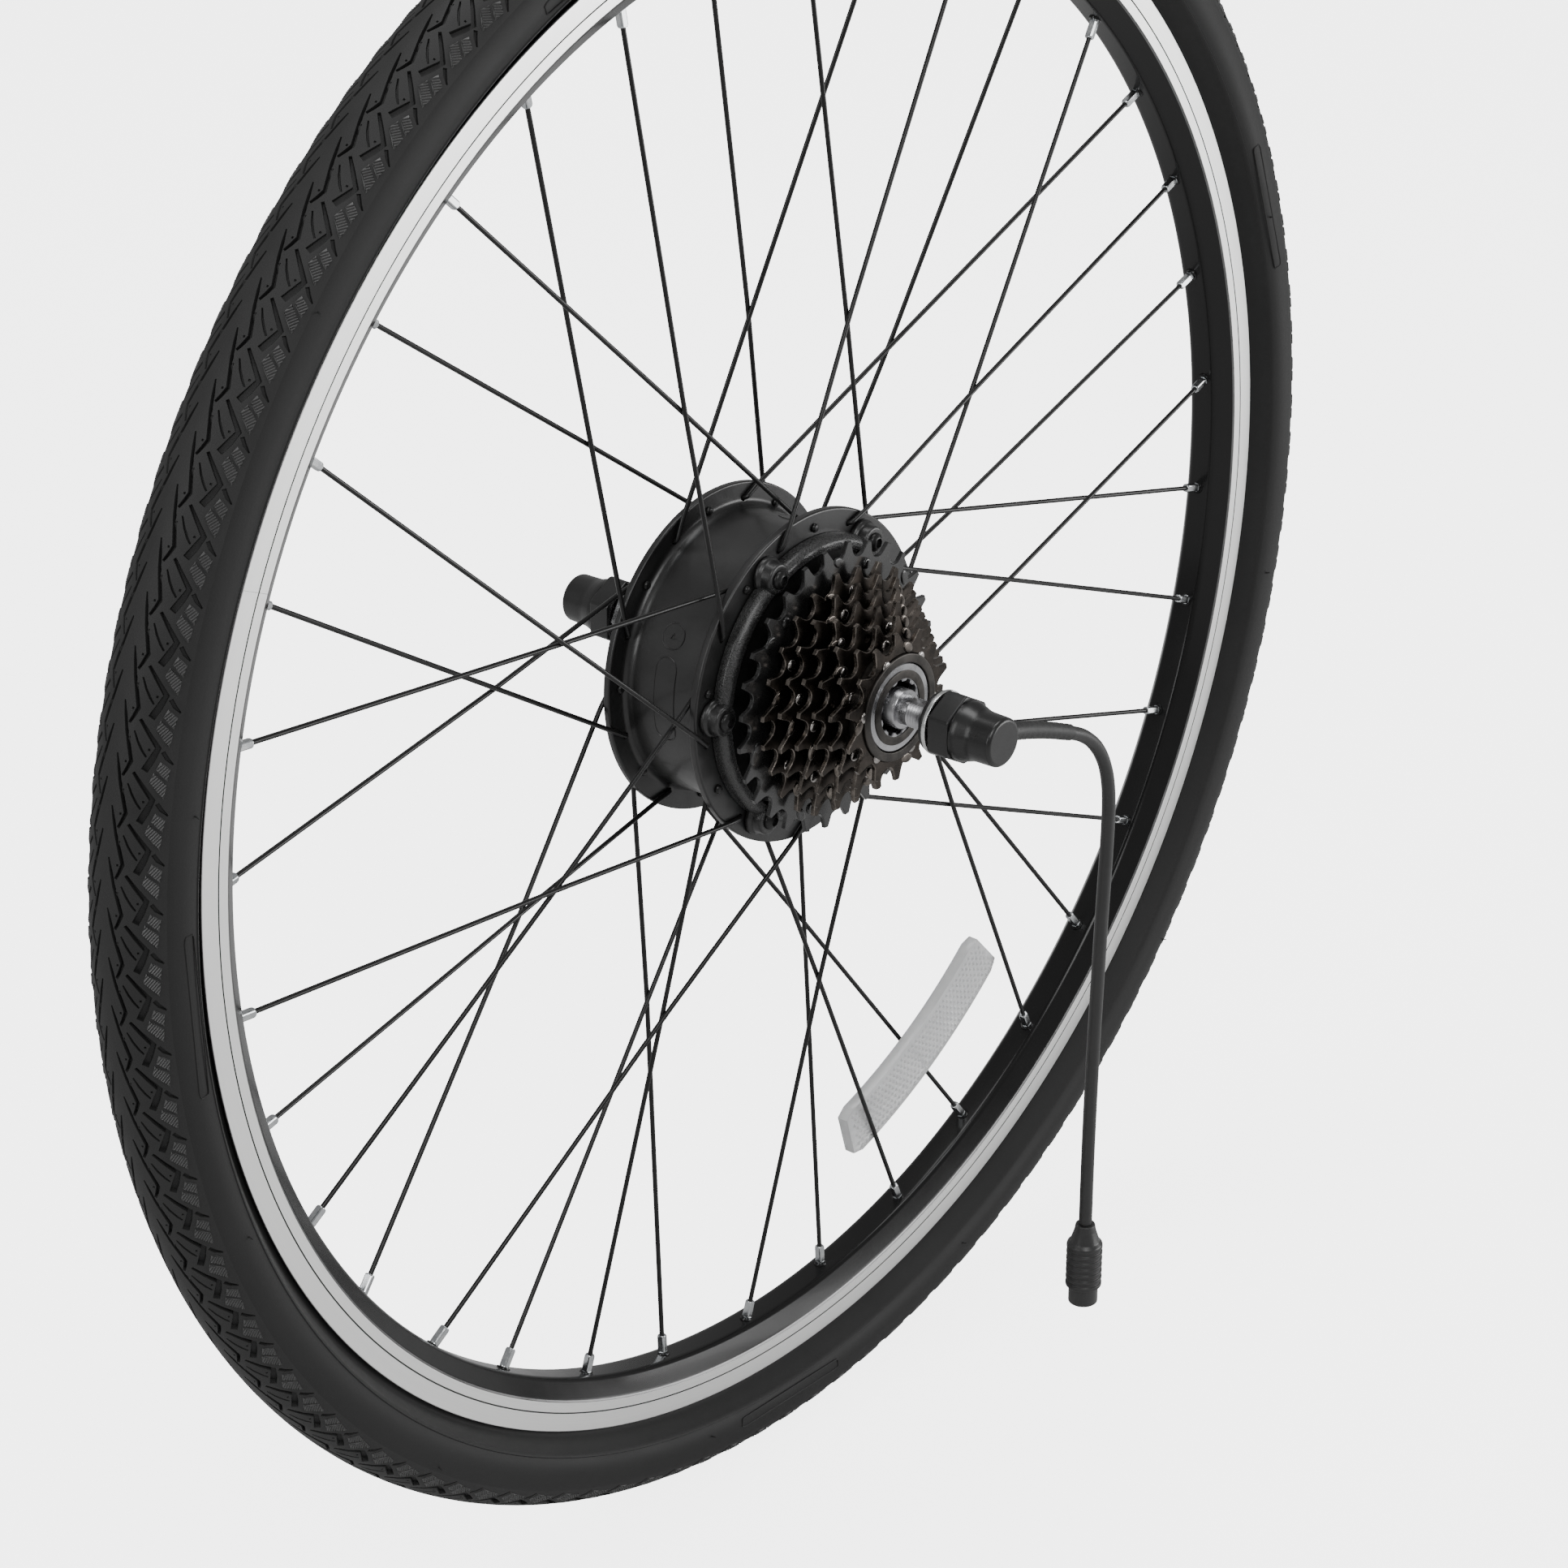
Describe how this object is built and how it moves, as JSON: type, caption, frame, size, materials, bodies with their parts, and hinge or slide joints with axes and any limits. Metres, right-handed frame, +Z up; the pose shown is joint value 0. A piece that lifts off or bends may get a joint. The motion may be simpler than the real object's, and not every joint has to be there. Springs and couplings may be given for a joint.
{
  "type": "hub motor wheel",
  "caption": "Rear bicycle wheel with a geared hub motor, crossed black spokes, treaded tyre, spoke reflector, freewheel sprockets, capped axle nuts and a hanging motor cable.",
  "frame": {"origin": "on the axle line, in the middle plane of the rim", "axes": "+Y along the axle from the sprocket side to the plain side; +X the way the bicycle rides; +Z up"},
  "size_m": [0.702, 0.218, 0.702],
  "materials": {
    "tyre_rubber": "matt black moulded rubber",
    "tube_rubber": "smooth black butyl with a brass valve",
    "rim_alloy": "gloss black with machined brake tracks",
    "spoke_steel": "black spokes with zinc nipples",
    "clear_plastic": "clear prismatic reflector",
    "hub_casting": "satin black paint on a casting",
    "black_screw": "black oxide",
    "bearing_steel": "ground steel",
    "gear_steel": "hardened steel",
    "gear_nylon": "natural nylon",
    "core_steel": "varnished laminations",
    "winding_copper": "enamelled copper",
    "axle_steel": "bright steel",
    "zinc_steel": "bright zinc",
    "black_cap": "satin black moulding",
    "freewheel_steel": "dark oiled steel",
    "sprocket_black": "black coated steel",
    "sprocket_steel": "dark bronze-brown oxide, bright tooth edges",
    "cable_sleeve": "matt black sleeve",
    "cable_jacket": "satin black jacket",
    "connector_black": "moulded black plastic"
  },
  "bodies": {
    "axle_assembly": {"axle": "axle_steel", "stator_core": "core_steel", "stator_winding": "winding_copper", "planet_carrier": "gear_steel", "one_way_clutch": "bearing_steel", "drive_washer": "zinc_steel", "drive_axle_nut": "zinc_steel", "left_axle_nut": "zinc_steel", "drive_nut_cap": "black_cap", "left_nut_cap": "black_cap", "cable_sleeve": "cable_sleeve", "motor_cable": "cable_jacket", "cable_connector": "connector_black"},
    "wheel": {"tyre": "tyre_rubber", "inner_tube": "tube_rubber", "rim": "rim_alloy", "spoke_pair_01": "spoke_steel", "spoke_pair_02": "spoke_steel", "spoke_pair_03": "spoke_steel", "spoke_pair_04": "spoke_steel", "spoke_pair_05": "spoke_steel", "spoke_pair_06": "spoke_steel", "spoke_pair_07": "spoke_steel", "spoke_pair_08": "spoke_steel", "spoke_pair_09": "spoke_steel", "spoke_pair_10": "spoke_steel", "spoke_pair_11": "spoke_steel", "spoke_pair_12": "spoke_steel", "spoke_pair_13": "spoke_steel", "spoke_pair_14": "spoke_steel", "spoke_pair_15": "spoke_steel", "spoke_pair_16": "spoke_steel", "spoke_pair_17": "spoke_steel", "spoke_pair_18": "spoke_steel", "spoke_reflector": "clear_plastic", "hub_shell": "hub_casting", "drive_side_cover": "hub_casting", "cover_screw_1": "black_screw", "cover_screw_2": "black_screw", "cover_screw_3": "black_screw", "cover_screw_4": "black_screw", "cover_screw_5": "black_screw", "cover_screw_6": "black_screw", "ring_gear": "gear_steel", "left_bearing": "bearing_steel", "drive_bearing": "bearing_steel", "freewheel_core": "freewheel_steel"},
    "rotor": {"rotor_bell": "core_steel", "sun_gear": "gear_steel"},
    "planet_1": {"planet_gear_1": "gear_nylon"},
    "planet_2": {"planet_gear_2": "gear_nylon"},
    "planet_3": {"planet_gear_3": "gear_nylon"},
    "freewheel": {"freewheel_body": "freewheel_steel", "sprocket_28t": "sprocket_black", "sprocket_24t": "sprocket_steel", "sprocket_22t": "sprocket_steel", "sprocket_20t": "sprocket_steel", "sprocket_18t": "sprocket_steel", "sprocket_16t": "sprocket_steel", "sprocket_14t": "sprocket_steel"}
  },
  "joints": [
    {"name": "wheel_spin", "type": "hinge", "parent": "axle_assembly", "child": "wheel", "pos_m": [0, 0, 0], "axis": [0, 1, 0], "continuous": true},
    {"name": "rotor_spin", "type": "hinge", "parent": "axle_assembly", "child": "rotor", "pos_m": [0, 0, 0], "axis": [0, 1, 0], "continuous": true},
    {"name": "planet_spin_1", "type": "hinge", "parent": "axle_assembly", "child": "planet_1", "pos_m": [0, -0.0083, 0.03], "axis": [0, 1, 0], "continuous": true},
    {"name": "planet_spin_2", "type": "hinge", "parent": "axle_assembly", "child": "planet_2", "pos_m": [-0.02598, -0.0083, -0.015], "axis": [0, 1, 0], "continuous": true},
    {"name": "planet_spin_3", "type": "hinge", "parent": "axle_assembly", "child": "planet_3", "pos_m": [0.02598, -0.0083, -0.015], "axis": [0, 1, 0], "continuous": true},
    {"name": "freewheel_spin", "type": "hinge", "parent": "wheel", "child": "freewheel", "pos_m": [0, -0.047, 0], "axis": [0, 1, 0], "continuous": true}
  ],
  "couplings": [
    {"joint": "rotor_spin", "follows": "wheel_spin", "ratio": -4},
    {"joint": "planet_spin_1", "follows": "wheel_spin", "ratio": 2.6667},
    {"joint": "planet_spin_2", "follows": "wheel_spin", "ratio": 2.6667},
    {"joint": "planet_spin_3", "follows": "wheel_spin", "ratio": 2.6667}
  ]
}
